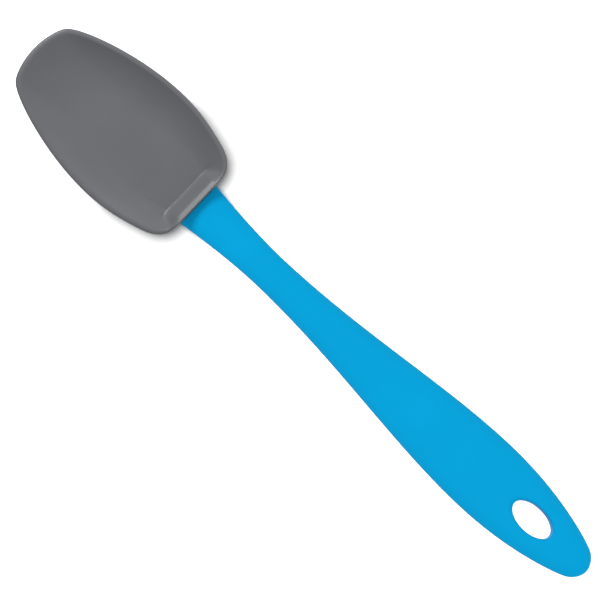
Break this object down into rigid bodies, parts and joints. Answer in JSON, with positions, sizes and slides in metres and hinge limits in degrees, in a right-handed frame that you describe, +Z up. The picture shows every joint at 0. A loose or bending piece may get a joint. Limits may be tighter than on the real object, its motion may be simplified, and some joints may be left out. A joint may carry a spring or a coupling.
{
  "type": "silicone spoon",
  "caption": "Cooking spoon with a shallow, flat-tipped silicone head pushed onto the tang of a contoured plastic handle with an oval hang hole.",
  "frame": {"origin": "under the middle of the spoon's length, on the surface that it lies on", "axes": "+X along the handle towards the tip of the head, +Z up out of the bowl, +Y across"},
  "size_m": [0.27, 0.0492, 0.0111],
  "materials": {
    "handle_plastic": "satin moulded polypropylene, bright blue",
    "head_silicone": "satin moulded silicone, mid grey"
  },
  "bodies": {
    "handle": {"handle": "handle_plastic"},
    "head": {"silicone_head": "head_silicone"}
  },
  "joints": [
    {"name": "head_pull_off", "type": "slide", "parent": "handle", "child": "head", "axis": [1, 0, 0], "range_m": [0, 0.042]}
  ]
}
